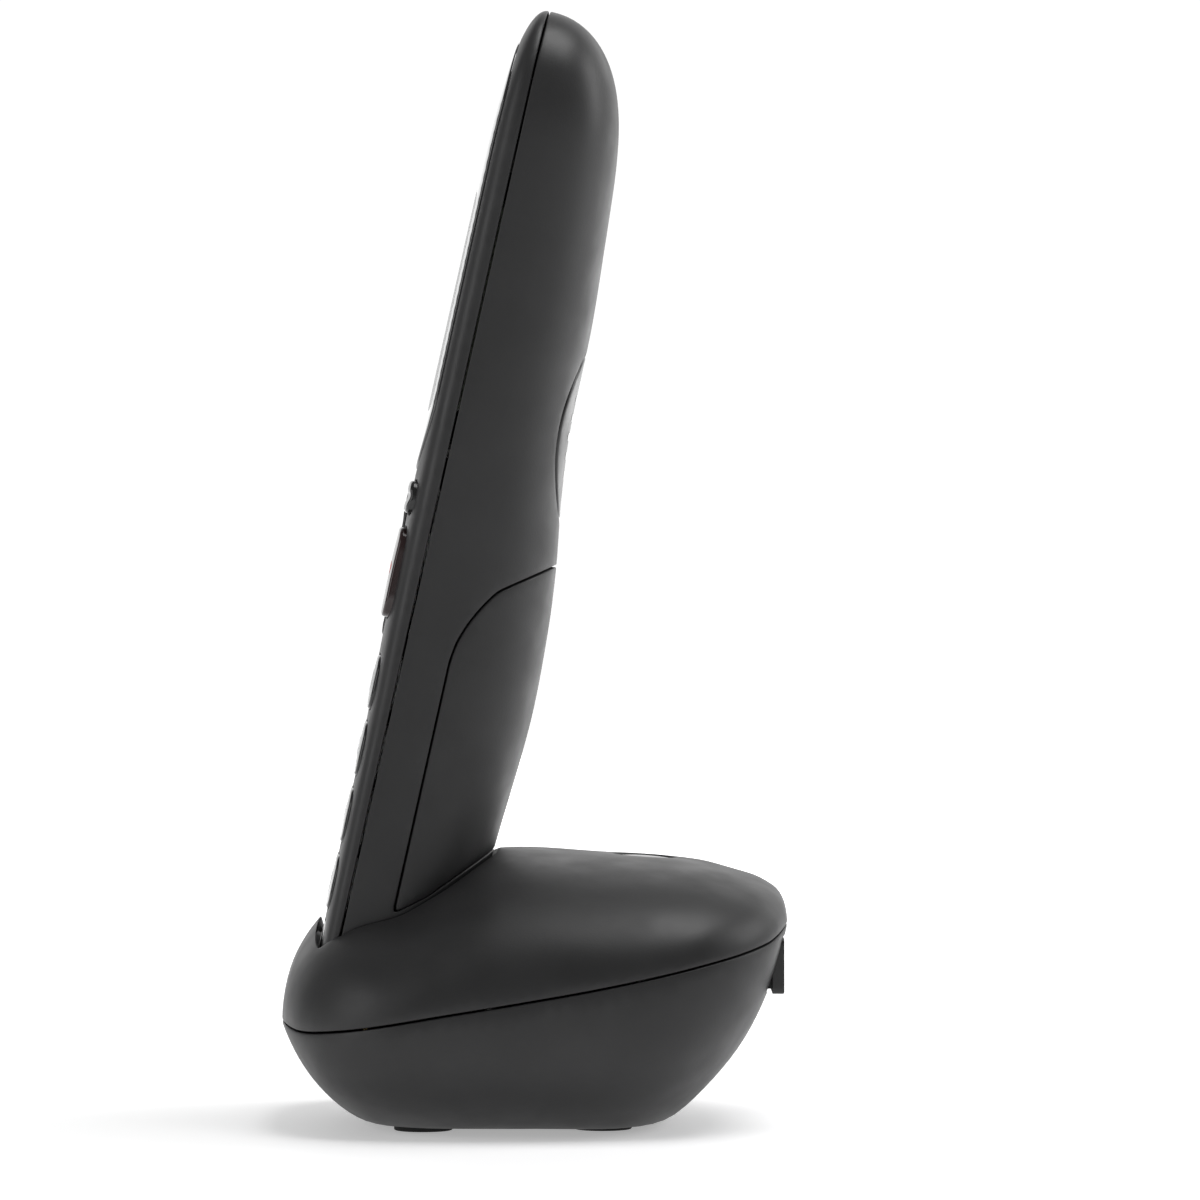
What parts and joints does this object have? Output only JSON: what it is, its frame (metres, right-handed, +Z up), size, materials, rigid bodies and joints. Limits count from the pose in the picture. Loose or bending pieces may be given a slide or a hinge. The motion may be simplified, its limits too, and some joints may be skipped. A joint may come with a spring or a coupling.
{
  "type": "cordless phone with base",
  "caption": "Cordless telephone: a slim handset leaning in the pocket of a small pebble-shaped charging base, with press keys, removable battery cover and rear sockets",
  "frame": {"origin": "middle of the base's footprint, on the surface that it stands on", "axes": "+Z up; the phone's keys face -Y; X runs across its width"},
  "size_m": [0.084, 0.0782, 0.1726],
  "materials": {
    "shell": "fine satin-matte moulded texture, dark charcoal",
    "gloss_plate": "gloss",
    "lens": "clear gloss window",
    "lcd": "grey-green reflective display",
    "grille": "satin",
    "inlay": "satin",
    "key_plastic": "satin black",
    "silicone": "translucent silicone",
    "board": "solder mask",
    "metal": "plated sheet steel",
    "cell": "shrink-wrapped cell",
    "contact": "gold-plated",
    "socket_plastic": "black moulded",
    "feet": "matte rubber"
  },
  "bodies": {
    "base": {"base_upper_shell": "shell", "base_lower_shell": "shell", "rear_panel": "socket_plastic", "line_socket": "socket_plastic", "power_socket": "socket_plastic", "page_switch": "socket_plastic", "base_pcb": "board", "base_shield": "metal", "base_feet": "feet", "base_screws": "metal"},
    "handset": {"front_shell": "shell", "back_shell": "shell", "faceplate": "gloss_plate", "display_lens": "lens", "lcd_module": "lcd", "earpiece_grille": "grille", "earpiece_speaker": "metal", "rear_inlay": "inlay", "loudspeaker": "inlay", "microphone": "metal", "keypad_mat": "silicone", "handset_pcb": "board", "handset_shield": "metal", "battery_left": "cell", "battery_right": "cell", "battery_contacts": "contact", "handset_contacts": "contact", "handset_screws": "metal"},
    "cover": {"battery_cover": "shell"},
    "key_1_body": {"key_1": "key_plastic"},
    "key_2_body": {"key_2": "key_plastic"},
    "key_3_body": {"key_3": "key_plastic"},
    "key_4_body": {"key_4": "key_plastic"},
    "key_5_body": {"key_5": "key_plastic"},
    "key_6_body": {"key_6": "key_plastic"},
    "key_7_body": {"key_7": "key_plastic"},
    "key_8_body": {"key_8": "key_plastic"},
    "key_9_body": {"key_9": "key_plastic"},
    "key_star_body": {"key_star": "key_plastic"},
    "key_0_body": {"key_0": "key_plastic"},
    "key_hash_body": {"key_hash": "key_plastic"},
    "key_redial_body": {"key_redial": "key_plastic"},
    "key_mute_body": {"key_mute": "key_plastic"},
    "key_volume_body": {"key_volume": "key_plastic"},
    "int_key_body": {"int_key": "key_plastic"},
    "talk_key_body": {"talk_key": "key_plastic"},
    "end_key_body": {"end_key": "key_plastic"},
    "soft_key_left_body": {"soft_key_left": "key_plastic"},
    "soft_key_right_body": {"soft_key_right": "key_plastic"},
    "nav_key_body": {"nav_key": "key_plastic"},
    "paging_key_body": {"paging_key": "key_plastic"},
    "charge_pin_left_body": {"charge_pin_left": "contact"},
    "charge_pin_right_body": {"charge_pin_right": "contact"}
  },
  "joints": [
    {"name": "handset_lift", "type": "slide", "parent": "base", "child": "handset", "axis": [0, 0.2181, 0.9759], "range_m": [0, 0.12]},
    {"name": "cover_pull", "type": "slide", "parent": "handset", "child": "cover", "axis": [0, 0.8949, 0.4462], "range_m": [0, 0.04]},
    {"name": "nav_rock", "type": "hinge", "parent": "handset", "child": "nav_key_body", "pos_m": [0, -0.01631, 0.0918], "axis": [1, 0, 0], "range_deg": [-2, 2], "stiffness_Nm_per_rad": 0.03},
    {"name": "key_1_press", "type": "slide", "parent": "handset", "child": "key_1_body", "axis": [0, 0.9759, -0.2181], "range_m": [0, 0.0006], "stiffness_N_per_m": 300, "springref_m": -0.0005},
    {"name": "key_2_press", "type": "slide", "parent": "handset", "child": "key_2_body", "axis": [0, 0.9759, -0.2181], "range_m": [0, 0.0006], "stiffness_N_per_m": 300, "springref_m": -0.0005},
    {"name": "key_3_press", "type": "slide", "parent": "handset", "child": "key_3_body", "axis": [0, 0.9759, -0.2181], "range_m": [0, 0.0006], "stiffness_N_per_m": 300, "springref_m": -0.0005},
    {"name": "key_4_press", "type": "slide", "parent": "handset", "child": "key_4_body", "axis": [0, 0.9759, -0.2181], "range_m": [0, 0.0006], "stiffness_N_per_m": 300, "springref_m": -0.0005},
    {"name": "key_5_press", "type": "slide", "parent": "handset", "child": "key_5_body", "axis": [0, 0.9759, -0.2181], "range_m": [0, 0.0006], "stiffness_N_per_m": 300, "springref_m": -0.0005},
    {"name": "key_6_press", "type": "slide", "parent": "handset", "child": "key_6_body", "axis": [0, 0.9759, -0.2181], "range_m": [0, 0.0006], "stiffness_N_per_m": 300, "springref_m": -0.0005},
    {"name": "key_7_press", "type": "slide", "parent": "handset", "child": "key_7_body", "axis": [0, 0.9759, -0.2181], "range_m": [0, 0.0006], "stiffness_N_per_m": 300, "springref_m": -0.0005},
    {"name": "key_8_press", "type": "slide", "parent": "handset", "child": "key_8_body", "axis": [0, 0.9759, -0.2181], "range_m": [0, 0.0006], "stiffness_N_per_m": 300, "springref_m": -0.0005},
    {"name": "key_9_press", "type": "slide", "parent": "handset", "child": "key_9_body", "axis": [0, 0.9759, -0.2181], "range_m": [0, 0.0006], "stiffness_N_per_m": 300, "springref_m": -0.0005},
    {"name": "key_star_press", "type": "slide", "parent": "handset", "child": "key_star_body", "axis": [0, 0.9759, -0.2181], "range_m": [0, 0.0006], "stiffness_N_per_m": 300, "springref_m": -0.0005},
    {"name": "key_0_press", "type": "slide", "parent": "handset", "child": "key_0_body", "axis": [0, 0.9759, -0.2181], "range_m": [0, 0.0006], "stiffness_N_per_m": 300, "springref_m": -0.0005},
    {"name": "key_hash_press", "type": "slide", "parent": "handset", "child": "key_hash_body", "axis": [0, 0.9759, -0.2181], "range_m": [0, 0.0006], "stiffness_N_per_m": 300, "springref_m": -0.0005},
    {"name": "key_redial_press", "type": "slide", "parent": "handset", "child": "key_redial_body", "axis": [0, 0.9759, -0.2181], "range_m": [0, 0.0006], "stiffness_N_per_m": 300, "springref_m": -0.0005},
    {"name": "key_mute_press", "type": "slide", "parent": "handset", "child": "key_mute_body", "axis": [0, 0.9759, -0.2181], "range_m": [0, 0.0006], "stiffness_N_per_m": 300, "springref_m": -0.0005},
    {"name": "key_volume_press", "type": "slide", "parent": "handset", "child": "key_volume_body", "axis": [0, 0.9759, -0.2181], "range_m": [0, 0.0006], "stiffness_N_per_m": 300, "springref_m": -0.0005},
    {"name": "int_key_press", "type": "slide", "parent": "handset", "child": "int_key_body", "axis": [0, 0.9759, -0.2181], "range_m": [0, 0.0006], "stiffness_N_per_m": 300, "springref_m": -0.0005},
    {"name": "talk_key_press", "type": "slide", "parent": "handset", "child": "talk_key_body", "axis": [0, 0.9759, -0.2181], "range_m": [0, 0.0006], "stiffness_N_per_m": 300, "springref_m": -0.0005},
    {"name": "end_key_press", "type": "slide", "parent": "handset", "child": "end_key_body", "axis": [0, 0.9759, -0.2181], "range_m": [0, 0.0006], "stiffness_N_per_m": 300, "springref_m": -0.0005},
    {"name": "soft_key_left_press", "type": "slide", "parent": "handset", "child": "soft_key_left_body", "axis": [0, 0.9759, -0.2181], "range_m": [0, 0.0006], "stiffness_N_per_m": 300, "springref_m": -0.0005},
    {"name": "soft_key_right_press", "type": "slide", "parent": "handset", "child": "soft_key_right_body", "axis": [0, 0.9759, -0.2181], "range_m": [0, 0.0006], "stiffness_N_per_m": 300, "springref_m": -0.0005},
    {"name": "page_press", "type": "slide", "parent": "base", "child": "paging_key_body", "axis": [0, 0, -1], "range_m": [0, 0.0008], "stiffness_N_per_m": 300, "springref_m": -0.0005},
    {"name": "charge_pin_left_press", "type": "slide", "parent": "base", "child": "charge_pin_left_body", "axis": [0, -0.2181, -0.9759], "range_m": [0, 0.001], "stiffness_N_per_m": 300, "springref_m": -0.0005},
    {"name": "charge_pin_right_press", "type": "slide", "parent": "base", "child": "charge_pin_right_body", "axis": [0, -0.2181, -0.9759], "range_m": [0, 0.001], "stiffness_N_per_m": 300, "springref_m": -0.0005}
  ]
}
